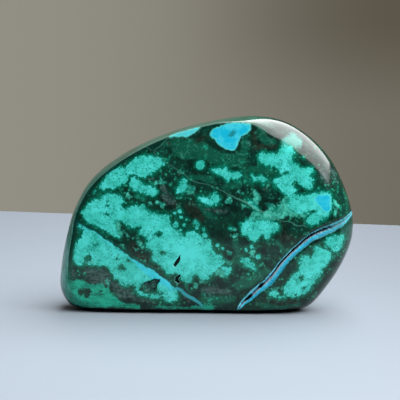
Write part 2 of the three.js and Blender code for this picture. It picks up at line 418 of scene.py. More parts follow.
CENTRE_LEFT = [
    (-40.7, 33.8), (-40, 34.8), (-38.7, 36), (-37.1, 37), (-35.5, 37.9), (-33.5, 38.9), (-31.9, 39.6),
    (-30.2, 39.6), (-28.9, 39.1), (-27.6, 38.4), (-27.1, 37.1), (-27.6, 36.1), (-27, 35.1), (-26.3, 34.8),
    (-25, 35.5), (-23.4, 35.8), (-21.8, 36.1), (-20.5, 36), (-20.1, 34.8), (-18.5, 33.8), (-16.9, 33.2),
    (-15.2, 33.2), (-13.3, 33.2), (-12.3, 32.2), (-11.7, 30.5), (-11, 28.9), (-10, 27.9), (-8.7, 26.9),
    (-7.4, 26.3), (-6.4, 27.3), (-5.1, 27.9), (-4.2, 27.9), (-3.2, 26.9), (-2.2, 26.3), (-1.2, 25.4),
    (0.1, 25.3), (1.4, 24.6), (2, 23.3), (2.4, 21.7), (3.3, 20), (4.6, 19.4), (5.6, 18.4), (6.3, 17.4),
    (5.6, 16.6), (6.9, 16.4), (8.2, 15.7), (8.4, 14.1), (7.3, 12.8), (6.3, 12.6), (6.1, 13.8), (6, 15.1),
    (5, 15.7), (3.7, 15.1), (3, 14.1), (1.7, 13.1), (0.7, 11.8), (-0.6, 11.1), (-1.5, 11.8), (-2.2, 12.8),
    (-3.2, 13.3), (-4.2, 12.5), (-4.5, 11.5), (-5.5, 10.8), (-6.8, 10.7), (-7.7, 11.1), (-8.4, 12.1),
    (-9.4, 13.8), (-10.7, 13.8), (-12, 13.1), (-13.3, 14.1), (-14.3, 15.7), (-15.2, 16.7), (-16.9, 17.1),
    (-17.8, 18.1), (-17.5, 20), (-17.8, 21.3), (-19.5, 22), (-20.1, 23), (-19.2, 24.3), (-19.8, 25.6),
    (-21.4, 26.3), (-22.1, 27.6), (-21.1, 28.6), (-22.1, 29.1), (-23.7, 28.6), (-25.7, 29.2), (-27.6, 30.4),
    (-29.3, 30.9), (-30.2, 29.9), (-29.9, 28.2), (-28.6, 26.9), (-28.3, 25.3), (-29.6, 25.1), (-30.9, 26.3),
    (-32.5, 27.3), (-34.5, 27.9), (-36.1, 28.9), (-38.1, 29.9), (-39.4, 30.9), (-40, 32.2),
]
SEAM_TOP = [
    (-41.6, 29.9), (-40, 28.9), (-38.7, 28.2), (-37.4, 27.6), (-35.8, 26.6), (-34.1, 25.4), (-32.2, 24),
    (-30.6, 23), (-28.9, 22), (-27.3, 20.7), (-25.7, 19.7), (-24.4, 18.4), (-22.7, 17.4), (-20.8, 16.4),
    (-18.8, 15.4), (-16.9, 14.4), (-15.2, 13.1), (-13.3, 11.6), (-11.7, 10.2), (-10, 8.9),
]
BELOW_SEAM = SEAM_TOP + [
    (-9.4, 7.9), (-9, 6.5), (-9, 5.2), (-9.7, 4.2), (-11.3, 3.9), (-13, 4.1), (-13.9, 4.9), (-14.3, 5.9),
    (-14.3, 6.9), (-15.6, 7.5), (-16.2, 8.5), (-16.2, 9.5), (-15.2, 10.8), (-15.2, 11.6), (-16.9, 11.8),
    (-18.8, 11), (-20.5, 10.5), (-21.4, 9.2), (-22.4, 7.5), (-23.2, 7.4), (-23.1, 8.5), (-23.4, 9.2),
    (-24.7, 10.2), (-25.7, 9.5), (-26.7, 9.2), (-27, 10.2), (-28.6, 10.8), (-29.9, 11.5), (-30.6, 12.8),
    (-31.5, 14.4), (-32.5, 15.4), (-34.1, 16.1), (-36.1, 15.7), (-38.1, 16.2), (-39.4, 17.1), (-40, 16.4),
    (-41.3, 15.7), (-42.6, 16.2), (-43.6, 17.7), (-43.8, 19.7), (-43, 21.3), (-42.6, 23), (-42.1, 24),
    (-41, 25), (-40.7, 26.3), (-40, 27.3), (-41, 27.9), (-41.6, 28.9),
]
UPPER_MIDDLE = [
    (1.4, 48), (4.3, 48.1), (6.3, 48.6), (6.6, 47.3), (8.6, 47), (10.2, 47.3), (11.2, 46), (10.2, 44.5),
    (8.2, 45.2), (7.3, 44.3), (6.3, 44.3), (5, 45.3), (3.3, 46.5), (1.7, 47.3),
]
UPPER_RIGHT = [
    (16.4, 51.9), (17.4, 53.2), (18.3, 53.7), (19.3, 53.2), (20.9, 53.5), (22.3, 53), (23.2, 53.9),
    (24.2, 55.5), (24.9, 56.3), (26.2, 56.2), (27.5, 55.5), (28.4, 54.5), (28.1, 53.2), (27.5, 51.9),
    (28.1, 50.6), (29.1, 49.9), (30.1, 48.6), (31.7, 48.3), (33.3, 48.9), (34.6, 48.6), (34.8, 47.6),
    (33.7, 46.6), (33.3, 46), (34, 45.3), (35, 44.8), (34.6, 44), (34.6, 42.7), (34, 41.7), (32.4, 41.9),
    (30.7, 42.4), (29.9, 43), (30.1, 44), (29.4, 44.3), (27.8, 44.5), (27.5, 43.7), (28.1, 42.4),
    (29.1, 41.4), (28.8, 40.1), (27.5, 39.4), (25.8, 39.4), (24.9, 40.4), (24.2, 41.4), (22.9, 42),
    (21.6, 43), (21.3, 44), (21.9, 45.2), (23.2, 45.7), (24.2, 46), (23.9, 47.3), (23.2, 48.3), (21.9, 48.9),
    (20.3, 49.1), (18.3, 49.3), (17.4, 50.3),
]
LOWER_RIGHT = [
    (27.8, 40.1), (29.4, 39.6), (31.4, 39.4), (33.3, 39.9), (35.3, 40.7), (37.6, 40.9), (39.9, 40.7),
    (40.7, 39.4), (41, 37.4), (40.8, 35.5), (40.2, 33.8), (39.5, 32.5), (38.6, 31.9), (37.2, 31.5),
    (35.9, 30.2), (34, 29.9), (32.7, 30.5), (32.4, 32.2), (33.7, 33), (34.6, 33.5), (35.6, 33.8),
    (35.3, 35.1), (34, 35.1), (33, 34.2), (31.4, 33.5), (29.7, 33.8), (27.8, 34.8), (26.5, 36.1),
    (26.5, 38.1),
]
CENTRE_RIGHT = [
    (11.2, 30.2), (13.1, 31.5), (14.4, 30.9), (16.1, 31.2), (18, 31.5), (20, 31.9), (21.6, 30.9),
    (22.9, 30.5), (23.9, 29.2), (23.2, 28.2), (22.3, 28.2), (21.3, 26.9), (20.3, 25.3), (19.3, 25.3),
    (18.3, 26.6), (17.4, 26.3), (16.7, 25), (15.4, 24.3), (14.1, 25), (13.1, 26.3), (11.8, 26.9),
    (11.5, 28.2),
]
BELOW_FISSURE = [
    (30.1, 18.1), (30.7, 19), (31.7, 19.7), (33, 20), (34.3, 19.2), (35.3, 20.4), (35, 21.7), (35.6, 22.7),
    (36.6, 23), (37.6, 22.3), (39.2, 21.7), (40.8, 20.7), (41.5, 19.7), (40.5, 18.4), (39.2, 17.1),
    (38.6, 15.4), (37.9, 13.8), (36.9, 12.1), (35.9, 10.8), (34.6, 9.8), (34, 8.2), (32.7, 6.9), (30.7, 6.2),
    (28.8, 5.9), (26.5, 6.2), (25.5, 7.5), (25.5, 9.2), (26.5, 10.2), (27.1, 11.5), (28.1, 13.1),
    (29.4, 14.1), (30.4, 15.1), (30.7, 16.4),
]
FAR_RIGHT = [
    (38.9, 24.6), (39.5, 25.9), (41.2, 26.3), (43.1, 26.3), (45.1, 26.8), (45.7, 25.6), (44.7, 23.6),
    (44.1, 22), (42.8, 21), (41.5, 21.3), (40.2, 23), (39.2, 23.6),
]
BITS = [  # smaller masses: x, z and half width from dot to dot
    [(-7.7, 44, 0.9), (-7.5, 42.4, 1.2), (-8.2, 41.2, 1.3), (-9.2, 40.8, 0.8)],
    [(14.6, 46, 0.5), (15.4, 44.9, 0.9)], [(17.5, 45, 1.1), (18.2, 44.4, 1)],
    [(-2.2, 38.3, 0.6), (-0.6, 37.7, 0.9), (1.2, 37.1, 0.9)], [(2.4, 39.2, 1), (3, 37.8, 1.3)],
    [(11.9, 18, 0.9), (13.1, 17.6, 1.2), (14.4, 16.6, 1.2), (15.6, 15.7, 0.8)],
    [(13.4, 37.7, 0.5), (15, 36.4, 0.6), (16.2, 35, 0.5)], [(21.4, 6.9, 0.7), (22.3, 7.1, 1.1)],
    [(24.2, 5.8, 0.5), (26, 6, 0.5)],
    [(-23.1, 8, 0.4), (-21.4, 6.9, 0.4), (-20, 6.4, 0.4), (-17.8, 5.9, 0.7), (-15.9, 6, 0.8)],
]
DOTS = [  # single grains: x, z and radius
    (-2.2, 49.3, 1.5), (-8.7, 34.2, 0.65), (-10.4, 33.5, 0.4), (-8.4, 32.2, 0.5), (-6.6, 31.5, 0.35),
    (-10, 29.6, 1), (-7.4, 29.7, 0.5), (-8.4, 27.9, 0.5), (-3.5, 30.5, 0.75), (-2.6, 29.9, 0.4),
    (-3.2, 28.7, 0.6), (-0.9, 28.2, 0.5), (-0.6, 26.3, 0.85), (3.7, 23.1, 0.65), (5.3, 22, 0.5),
    (14.8, 22.7, 0.7), (13.1, 21.7, 0.5), (17, 19.4, 0.8), (7.9, 28.7, 0.5), (13.8, 13.5, 0.3),
    (-0.7, 6.7, 0.4), (31.5, 51.9, 0.4), (-36.6, 40.2, 0.6),
]
HOLES = [  # places where the dark stone shows through the masses
    [(-15.6, 26.3, 1)], [(-14.9, 20.4, 0.6), (-13.9, 20.3, 0.5)], [(-38.7, 18.4, 1.1), (-39.7, 17.4, 0.5)],
    [(-29.2, 18.4, 0.6)], [(-3.2, 12.6, 0.8)], [(-32.5, 36.9, 0.35), (-32.6, 35.6, 0.4)],
    [(-30.2, 34.5, 0.3)], [(25.2, 46.6, 0.5), (26.5, 47.2, 0.5)], [(18, 26, 0.5)],
    [(31.1, 12.5, 0.7), (31.3, 11.8, 0.5)], [(29.1, 7.2, 0.4)], [(32, 8.9, 0.5)],
    [(-33.6, 32.7, 0.3), (-31.6, 31.9, 0.4)], [(-21, 22.4, 0.3)], [(-37, 22.8, 0.5), (-36, 23, 0.4)],
    [(-25.3, 17.9, 0.5)], [(-27.6, 15.6, 1), (-26.9, 14.8, 0.4)],
]
masses = (A_LOW, A_HIGH, A_UNDER, CENTRE_LEFT, BELOW_SEAM, UPPER_MIDDLE, UPPER_RIGHT, LOWER_RIGHT,
          CENTRE_RIGHT, BELOW_FISSURE, FAR_RIGHT)
turquoise = any_of(stroke_depth(sketch, BITS, blend=0.3), *(patch_depth(sketch, mass) for mass in masses))
turquoise = np.minimum(turquoise, -stroke_depth(sketch, HOLES, blend=0.2))
grains = stroke_depth(straight, [[dot] for dot in DOTS], blend=0.2)
print("turquoise covers", round(float((turquoise > 0).mean()), 3), "of the points")

# %% [markdown]
# ## Jade green
#
# Round many masses, and wherever the two minerals grew through each other, lies a middle tone between
# turquoise and malachite. It's a second depth, painted beneath the turquoise.

# %% Jade green
JADE_PATCHES = [
    [(18, 33.8), (20, 35.1), (19, 36.8), (20.9, 37.1), (22.6, 36.1), (23.9, 37.4), (24.5, 38.8),
     (26.5, 39.7), (29.1, 39.4), (32.4, 36.5), (33.4, 34.2), (32, 31.9), (29.4, 33.2), (26.5, 32.6),
     (23.9, 31.9), (21.9, 30.9), (18, 31.2), (14.8, 30.9), (12.8, 31.2), (13.8, 32.8), (15.7, 34.2)],
    [(-31.2, 31.2), (-28, 30.9), (-28, 28), (-27, 26), (-28, 24.8), (-31, 26), (-33.5, 27.6), (-33, 30)],
]
JADE = [
    [(-16.5, 43.2, 0.5), (-14.9, 43.6, 0.9), (-13.3, 43.3, 0.5)], [(-6.4, 42.2, 1.1), (-5.6, 40.4, 1.1)],
    [(-4.8, 41.6, 1.1)], [(-25.4, 39.8, 0.4), (-25.3, 38.4, 0.5)], [(-15.6, 36.9, 0.7), (-14.4, 36.3, 0.9)],
    [(-18.4, 36.6, 0.5)], [(16, 40.2, 0.9), (16.4, 38.6, 1.2), (15.4, 36.8, 0.9)], [(7.3, 37.6, 1.1)],
    [(12.1, 35.8, 0.5)], [(10.2, 40.6, 0.4)], [(19.8, 43, 0.4)], [(8.4, 26.4, 0.4), (9.4, 26.4, 0.5)],
    [(9.2, 28.4, 0.5)], [(7.6, 20.4, 0.8)], [(15.3, 21, 0.7), (15, 19.6, 0.5)], [(7.6, 17.2, 0.8)],
    [(-22.2, 24, 0.6), (-21.2, 22.4, 0.9)], [(-22.8, 21.4, 0.5)], [(-27.6, 23, 0.5)], [(-27.2, 27, 0.4)],
    [(-26, 26, 0.4)], [(-24, 25, 0.35)], [(-3.2, 9.8, 1.1)], [(-0.9, 10.6, 0.8)], [(-31.9, 9.9, 0.9)],
    [(41.6, 38.4, 0.4), (42.4, 36.6, 0.7), (42, 34.2, 0.6), (41.4, 33.2, 0.4)],
    [(3.6, 14.6, 1.4), (5.4, 13.6, 1.2)], [(11.4, 9.6, 0.3)], [(22, 8.6, 0.5), (24.4, 9, 0.4)],
    [(24.2, 21, 0.5)], [(-13.4, 17.2, 1), (-11, 15.4, 1.2)], [(-42.6, 27.2, 0.4)], [(24.8, 37, 0.9)],
    [(-23, 32.6, 1.2), (-20, 31.6, 1)],
]
jade = any_of(*(patch_depth(sketch, patch) for patch in JADE_PATCHES), stroke_depth(sketch, JADE, blend=0.3))
print("jade covers", round(float((jade > 0).mean()), 3), "of the points")

# %% [markdown]
# ## Sky blue
#
# In a few places the copper-blue mineral is purest: two clear sky-blue fields, a pale sliver under the
# upper ridge, and thin blue films along the seam. They are drawn the same way and kept as a third depth.

# %% Sky blue
SKY_TOP = [
    (0.7, 59.1), (1.4, 60.8), (2.7, 61.4), (4.6, 61.9), (6.3, 62.8), (8.2, 63.1), (10.2, 62.9), (12.5, 63.1),
    (13.8, 62.8), (14.1, 61.4), (13.9, 60.5), (12.8, 59.8), (11.8, 59.1), (10.8, 58.8), (10.5, 57.8),
    (10.2, 56.2), (9.5, 54.9), (8.6, 54.2), (6.9, 54.2), (5.6, 54.7), (4.3, 55.5), (3.3, 56.5), (2.7, 57.8),
    (1.4, 58.5),
]
SKY_RIGHT = [
    (35.3, 39.2), (36.3, 40.4), (37.9, 39.6), (39.2, 40.4), (40.2, 40.1), (40.5, 38.1), (40.5, 35.8),
    (39.9, 34.2), (38.6, 33.8), (37.6, 35.1), (36.6, 36.5), (35.3, 37.3), (35, 38.2),
]
SLIVER = [
    (-12.3, 58.3), (-11.3, 59.1), (-9.4, 60.1), (-7.1, 60.9), (-4.8, 61.4), (-2.5, 61.8), (-2.2, 61.4),
    (-2.9, 60.8), (-3.8, 59.8), (-5.1, 59), (-6.8, 58.5), (-8.4, 58.3), (-10, 58.3),
]
SKY_THREADS = [
    [(-37.8, 27.3, 0.3), (-37.6, 25.2, 0.4)],
    [(-16.6, 13.4, 0.2), (-15.2, 12.4, 0.5), (-13.4, 11.1, 0.6), (-11.6, 9.7, 0.3)],
]
FILM = [  # a soft blue film under the seam
    [(-25, 18.6, 0.2), (-21.6, 16, 0.7), (-19.4, 14.4, 1.2), (-17, 12.8, 1.3), (-14.4, 11, 1.1),
     (-11.4, 8.8, 0.6)],
]
SKY_STAIN = [  # a green-brown spot within the upper field
    [(7, 58.9, 0.5), (7.9, 59.4, 0.8), (8.9, 60.2, 0.6)],
]
sky = any_of(patch_depth(sketch, SKY_TOP), patch_depth(sketch, SKY_RIGHT), patch_depth(sketch, SLIVER),
             stroke_depth(sketch, SKY_THREADS, 0.3))
stain = stroke_depth(sketch, SKY_STAIN, 0.3)
pale = any_of(patch_depth(sketch, SLIVER), stroke_depth(sketch, [
    [(13.2, 63.4, 0.8)], [(25.6, 56.8, 1.4), (28, 57.8, 1.8), (29.6, 56.6, 1.4)],
    [(13.4, 56.6, 0.3), (13.6, 55.8, 0.3)], [(-38.6, 17, 0.2), (-36.8, 17, 0.25)]], 0.3))
print("sky blue covers", round(float((sky > 0).mean()), 3), "of the points")

# %% [markdown]
# ## The dark stone
#
# The rest is malachite, from mid green through bottle green to almost black, with grey and brown clouds of
# other minerals in it. Each tone is a few wide soft strokes. They overlap, and the shader stacks them.

# %% The dark stone
GREEN = [
    [(-14, 56, 1.2), (-10.5, 57, 1.4), (-7, 56, 2), (-3, 55, 2.2), (0, 53.5, 2)],
    [(-10, 53.4, 1.6), (-6, 52.6, 1.8), (-2, 52.6, 1.4)], [(2, 52, 2.2), (6, 51, 2.2), (10, 50.6, 1.8)],
    [(12, 57, 0.9), (12, 53, 1.1)], [(-6, 45.4, 0.8), (-3, 45.1, 1.1), (0.5, 44.8, 0.9), (3, 43.4, 0.5)],
    [(14.5, 48, 0.9), (18, 47.6, 1.1), (21, 47.3, 0.9)],
    [(17, 60.6, 1.2), (18.5, 57.8, 1.8), (21, 56.6, 1.4)],
    [(11, 9.5, 1.6), (14, 11, 1.8), (17.5, 13, 1.6), (20, 15, 1)],
    [(-1, 4.8, 1.1), (4, 5, 1.3), (9, 5.2, 1.1)], [(17, 3.4, 0.8), (24, 2.6, 0.9), (31, 3.4, 0.8)],
    [(45.6, 39.6, 0.6), (46.4, 36.6, 0.7), (46, 33.8, 0.6)],
    [(9, 55, 0.1), (13, 44.6, 0.6), (15, 42.8, 0.7)], [(26, 21.4, 0.9), (23, 24, 0.8)],
    [(-3, 36, 1), (1, 33, 1)], [(-20, 37.8, 0.7), (-21, 38, 0.7)], [(6, 42.2, 0.8), (10.6, 43, 1)],
    [(9.6, 24.4, 1), (10, 20.6, 1.2), (9, 17, 1)],
]
BRIGHT = [  # the bright green that rounds the lower left corner
    [(-46, 10, 1.2), (-45.4, 6.5, 1.6), (-43, 3.8, 1.8), (-39, 2.8, 1.7), (-35, 4, 2), (-31.4, 4, 1.8),
     (-27.4, 2.8, 1.2), (-22, 2.4, 0.7)],
    [(-40, 9.6, 0.9), (-37, 8.6, 1), (-34.5, 8.4, 1.1), (-32.6, 6.8, 1.2)],
    [(-43.6, 9.4, 1.5), (-41.4, 10, 1.1)], [(-37.4, 5.8, 1.2), (-35.8, 7.2, 1)], [(-43.4, 6, 1)],
    [(-45, 13.4, 0.7), (-44, 17, 0.1)], [(-18, 2.2, 0.5), (-8, 2, 0.5), (2, 2.4, 0.7)],
]
DARK_SPOTS = [
    [(-41.4, 7.5, 0.8), (-40, 6.8, 0.9), (-38.8, 5.6, 0.8)], [(-37.8, 7.4, 0.3)],
    [(-34.4, 7.6, 0.3), (-34.2, 6.8, 0.4)], [(-42.6, 12.4, 0.3)], [(-25.6, 4.9, 0.5)],
]
BROWN = [
    [(14.9, 61.5, 0.5), (15, 58, 0.8), (15.4, 55.6, 0.9), (19, 55, 0.9), (22.5, 55.6, 0.8)],
    [(30.5, 54.3, 0.5), (33, 52.6, 0.7), (35.6, 50.2, 0.7), (37.2, 48, 0.5)],
    [(24.5, 30, 1), (24.8, 28.4, 0.9)],
    [(19.5, 5.4, 0.6), (23, 4.2, 0.8), (28, 4.3, 0.8), (32, 5.6, 0.7), (36, 8.8, 0.5)],
    [(-13.6, 38, 1.6), (-10, 36, 1.2)], [(-24.4, 22.6, 1.2), (-22, 19.6, 1.2), (-19.6, 17.4, 1)],
    [(25, 26, 1.4), (28, 25, 1.4)], [(-12.4, 56.3, 0.8)], [(-3, 57, 0.9), (-0.6, 58.4, 0.6)],
    [(-16.6, 15.6, 0.6), (-15.4, 14.9, 0.7), (-14.6, 13.8, 0.5)], [(-5, 36, 2), (-2, 31.6, 1.4)],
]
GREY = [
    [(-39, 14, 1.4), (-36, 13.6, 2), (-33.4, 12.8, 1.8)], [(-37, 11, 1.4), (-33, 10.6, 1.4)],
    [(-30, 9.4, 1), (-27, 8.2, 1.1), (-24.6, 7.4, 0.9)],
    [(-29, 6.4, 0.8), (-26, 5.6, 0.8), (-22, 5, 0.9), (-17, 4.2, 0.8)], [(-44, 15, 0.7), (-43.6, 12, 0.8)],
    [(-14.4, 42, 1), (-13.6, 39.4, 1.4), (-11.6, 37, 1.2)], [(-19.6, 44.6, 0.4), (-17.6, 44.4, 0.5)],
    [(37.4, 47, 0.9), (38.6, 44, 1.1), (39.4, 42, 0.8)], [(0, 34.8, 0.7), (3.4, 34.4, 0.9), (6.4, 34, 0.7)],
    [(-7, 6, 0.6), (-5, 3.8, 0.6)], [(-0.6, 8, 1.2), (4, 8, 1.2), (8, 7.6, 1)],
    [(-24.6, 48, 0.5), (-27, 50, 0.4)], [(-9, 46.6, 0.5)], [(20, 43.6, 0.6), (19, 41.6, 0.4)],
    [(41, 48, 0.6), (42.4, 44, 0.6)],
]
VEINS = [  # thin pale healed cracks: x, z and half width
    [(-21.1, 55.2, 0.05), (-19.5, 54.7, 0.1), (-17.8, 53.5, 0.1), (-16.5, 52.2, 0.1), (-14.6, 51.1, 0.1),
     (-12.6, 49.3, 0.1), (-10.4, 48.1, 0.12), (-8.1, 46.8, 0.12), (-6.8, 45.7, 0.12), (-5.1, 44.3, 0.12),
     (-2.9, 43.5, 0.14), (-0.2, 43, 0.12), (1.7, 42.4, 0.12), (5, 40.9, 0.14), (8.2, 39.2, 0.2),
     (10.8, 38.1, 0.24), (13.4, 36.9, 0.34), (15.4, 35.5, 0.36), (18, 34.2, 0.24), (20.6, 32.8, 0.2),
     (23.9, 31.4, 0.12), (27.1, 30.9, 0.16), (29.4, 29.8, 0.16), (32, 29.5, 0.14), (34, 28.6, 0.1)],
    [(-17.4, 53.9, 0.1), (-15.2, 55.4, 0.12), (-13.6, 57.2, 0.12), (-12, 58.6, 0.12)],
    [(32.2, 31.8, 0.1), (31.6, 30.2, 0.12), (32.8, 29, 0.1)],
]
SEAM_TAIL = [
    (-10, 8.9, 0.3), (-8.4, 8.2, 0.35), (-6.8, 6.7, 0.4), (-5.5, 5.9, 0.45), (-3.8, 4.9, 0.45),
    (-2.2, 3.8, 0.35), (-0.9, 2.6, 0.25),
]
NO_LINE, LINE_REACH = -2.0, 1.5  # the half width where a line has ended, or is farther away than its reach


def line_paint(places, lines):
    """Signed distance to the nearest of the lines, and that line's half width there."""
    nearest, half = np.full(len(places), 99.0), np.full(len(places), NO_LINE)
    for line in lines:
        line = rounded_line(np.array(line, float))
        before = np.append(2 * line[0, :2] - line[1, :2], NO_LINE)
        after = np.append(2 * line[-1, :2] - line[-2, :2], NO_LINE)
        signed, figures = along_line(places, np.vstack([before, line, after]))
        closer = np.abs(signed) < np.abs(nearest)
        nearest, half = np.where(closer, signed, nearest), np.where(closer, figures[:, 0], half)
    return nearest, np.where(np.abs(nearest) > LINE_REACH, NO_LINE, half)


def soft(strokes, softness=1.0):
    """How fully each place lies in wide strokes, from 0 to 1."""
    return smooth_step(-softness, softness, stroke_depth(sketch, strokes, blend=0.7))


FAR = 3.0  # mm; a distance that counts as well outside
vein, vein_half = line_paint(straight, VEINS)
seam, seam_half = line_paint(straight, [SEAM_TAIL])
seam_top, _ = line_paint(straight, [[(*corner, 1) for corner in SEAM_TOP]])
not_spots = 1 - soft(DARK_SPOTS, 0.4)
paint = {
    "turquoise": turquoise, "sky": sky, "jade": jade, "film": soft(FILM), "pale": pale, "grains": grains,
    "stain": stain, "green": soft(GREEN) * not_spots, "bright": soft(BRIGHT, 0.8) * not_spots,
    "brown": soft(BROWN), "grey": soft(GREY) * not_spots, "vein": vein, "vein_half": vein_half,
    "seam": seam, "seam_half": seam_half, "seam_top": np.clip(seam_top, -FAR, FAR),
}
print({name: round(float(value.max()), 2) for name, value in paint.items()})

# %% [markdown]
# ## The sides and the back
#
# Out of sight the same rock goes on. There the masses come from the random field itself, cut at a level
# that gives about the same share of turquoise, and the two ways are blended just behind the widest
# outline.

# %% The sides and the back
BLEND_FROM, BLEND_TO = -9.5, -3.0  # y in mm, where the sketch gives way, in a ragged border
RAGGEDNESS = 3  # mm by which that border wanders
STEEPNESS = 9  # mm of depth for a step of 1 in the random field
TURQUOISE_LEVEL, JADE_LEVEL, SKY_LEVEL = 0.2, 0.13, 0.62  # the higher, the less there is

ragged = shape[:, 1] + RAGGEDNESS * grain(shape, 9, seed=12, octaves=3)
drawn = 1 - smooth_step(BLEND_FROM, BLEND_TO, ragged)
clouds = grain(shape, 17, seed=5, octaves=3)
wild = {
    "turquoise": (clouds - TURQUOISE_LEVEL) * STEEPNESS,
    "jade": (clouds - JADE_LEVEL) * STEEPNESS,
    "sky": (grain(shape, 21, seed=6, octaves=2) - SKY_LEVEL) * STEEPNESS,
    "green": smooth_step(-0.1, 0.5, grain(shape, 12, seed=7, octaves=2)),
    "bright": smooth_step(0.3, 0.7, grain(shape, 19, seed=11, octaves=2)),
    "brown": smooth_step(0.1, 0.6, grain(shape, 15, seed=8, octaves=2)),
    "grey": smooth_step(0.25, 0.6, grain(shape, 13, seed=9, octaves=2)),
    "vein": grain(shape, 30, seed=10, octaves=2) * 22,
    "vein_half": 0.12, "pale": -FAR, "grains": -FAR, "stain": -FAR, "film": 0.0, "seam": FAR,
    "seam_half": NO_LINE, "seam_top": FAR,
}
for name, value in paint.items():
    paint[name] = wild[name] + (value - wild[name]) * drawn
print("drawn by hand", round(float((drawn > 0.5).mean()), 2), "of the points")

# %% [markdown]
# ## Cutting the openings
#
# The lining of the fissure is pressed in a little, the gap deeply, and so are the slits and the hollow.
# Each point goes straight back along y, as a fissure that runs square into the face does.

# %% Cutting the openings
LINING_DEPTH, GAP_DEPTH, SLIT_DEPTH, HOLLOW_DEPTH = 0.5, 2.4, 1.6, 0.9

is_front = shape[:, 1] < -Y_SHIFT
beside, reach = along_line(flat + FISSURE_WOBBLE * wobble, fissure_line)
rough_edge = 0.1 * grain(shape, 1.1, seed=31) + 0.06 * grain(shape, 0.5, seed=32)
across = beside / np.where(beside > 0, reach[:, 0], reach[:, 1])  # 1 and -1 at the lining's two borders
gap = reach[:, 2] - np.abs(beside + rough_edge)
slit = stroke_depth(straight, SLITS, 0.2) + 0.5 * rough_edge
hollow = patch_depth(straight, HOLLOW) + 0.4 * grain(shape, 1.4, seed=33)
lining = smooth_step(1.1, 0.8, np.abs(across)) * smooth_step(0.6, 0.8, reach[:, 0])
sink = is_front * any_of(
    LINING_DEPTH * lining + (GAP_DEPTH - LINING_DEPTH) * smooth_step(-0.1, 0.12, gap),
    SLIT_DEPTH * smooth_step(-0.1, 0.35, slit), HOLLOW_DEPTH * smooth_step(-0.2, 0.5, hollow),
)
shape[:, 1] += sink
paint["across"] = np.where(is_front, np.clip(across, -FAR, FAR), FAR * np.sign(across))
for name, value in (("gap", gap), ("slit", slit), ("hollow", hollow)):
    paint[name] = np.where(is_front, np.clip(value, -FAR, FAR), -FAR)
paint["edge"] = np.minimum(rim, 1)  # 0 on the face, 1 at the widest outline and behind it
paint["ridge"] = np.clip(past_ridge, -FAR, 4 * FAR)
band_ends = smooth_step(1.0, 1.3, rim + 0.15 * grain(shape, 4, seed=35, octaves=2))
paint["edge_band"] = crispness * (1 - band_ends)  # only a crisp ridge has the streaked band outside it
stone.data.vertices.foreach_set("co", (shape * MM).ravel())
for name, value in paint.items():
    stone.data.attributes.new(name, "FLOAT", "POINT").data.foreach_set("value", value.astype(np.float32))
stone.data.update()
bpy.ops.object.select_all(action="DESELECT")
stone.select_set(True)
bpy.context.view_layer.objects.active = stone
bpy.ops.object.mode_set(mode="EDIT")
bpy.ops.mesh.select_all(action="SELECT")
bpy.ops.mesh.normals_make_consistent(inside=False)
bpy.ops.object.mode_set(mode="OBJECT")
bpy.ops.object.shade_smooth()
print("deepest cut", round(float(sink.max()), 2), "mm")

# %% [markdown]
# ## Writing shader sums
#
# A shader is a net of nodes, and even a short sum takes many of them. The class below wraps one output of
# a node, so that sums on numbers are written as in plain Python, and one method makes every other kind of
# node.

# %% Writing shader sums
class Signal:
    """One output of a shader node, with arithmetic."""

    def __init__(self, socket):
        self.socket = socket

    @classmethod
    def node(cls, tree, kind, settings=None, inputs=None, output=0):
        made = tree.nodes.new(kind)
        for name, value in (settings or {}).items():
            if name == "stops":
                ramp = made.color_ramp.elements
                while len(ramp) < len(value):
                    ramp.new(0.5)
                for stop, (position, shade) in zip(ramp, value):
                    stop.position, stop.color = position, shade
            else:
                setattr(made, name, value)
        for name, value in (inputs or {}).items():
            if isinstance(value, Signal):
                tree.links.new(value.socket, made.inputs[name])
            else:
                made.inputs[name].default_value = value
        return cls(made.outputs[output])

    def math(self, operation, *others):
        values = dict(enumerate((self, *others)))
        return Signal.node(self.socket.id_data, "ShaderNodeMath", {"operation": operation}, values)

    def __add__(self, other):
        return self.math("ADD", other)

    def __sub__(self, other):
        return self.math("SUBTRACT", other)

    def __rsub__(self, other):
        return self * -1 + other

    def __mul__(self, other):
        return self.math("MULTIPLY", other)

    __radd__, __rmul__ = __add__, __mul__

    def step(self, low, high):
        """0 below low, 1 above high, and a soft rise between them; high may be the lower one."""
        made = Signal.node(self.socket.id_data, "ShaderNodeMapRange", {"interpolation_type": "SMOOTHSTEP"},
                           {"Value": self, "From Min": min(low, high), "From Max": max(low, high)})
        return 1 - made if low > high else made


def tint(red, green, blue):
    """A colour as the eye reads it, 0 to 255, in the linear numbers that light is reckoned in."""
    return tuple(((c / 255 + 0.055) / 1.055) ** 2.4 if c > 10 else c / 255 / 12.92
                 for c in (red, green, blue)) + (1.0,)


def new_finish(name):
    finish = bpy.data.materials.new(name)
    finish.use_nodes = True
    return finish, finish.node_tree, finish.node_tree.nodes["Principled BSDF"]


print("mid grey is", round(tint(128, 128, 128)[0], 3), "in linear light")

# %% [markdown]
# ## The polished mineral and its noise
#
# Colours go on from the ground up: the dark stone and its clouds, the turquoise, the sky blue, the seam
# and the cracks, the streaked edge, and last the fissure. Every border between two of them is the painted
# depth plus fine noise, so it frays as real intergrown minerals do. All layers share the same few sizes of
# noise.

# %% The polished mineral and its noise
finish, tree, surface = new_finish("chrysocolla")


def make(kind, settings=None, inputs=None, output=0):
    return Signal.node(tree, kind, settings, inputs, output)


def painted(name):
    return make("ShaderNodeAttribute", {"attribute_name": name}, output="Fac")


place = make("ShaderNodeTexCoord", output="Object")


def along(axis):
    """How far along X, Y or Z each place lies, in metres."""
    return make("ShaderNodeSeparateXYZ", None, {"Vector": place}, output=axis)


def stretched(scale):
    return make("ShaderNodeMapping", None, {"Vector": place, "Scale": scale})


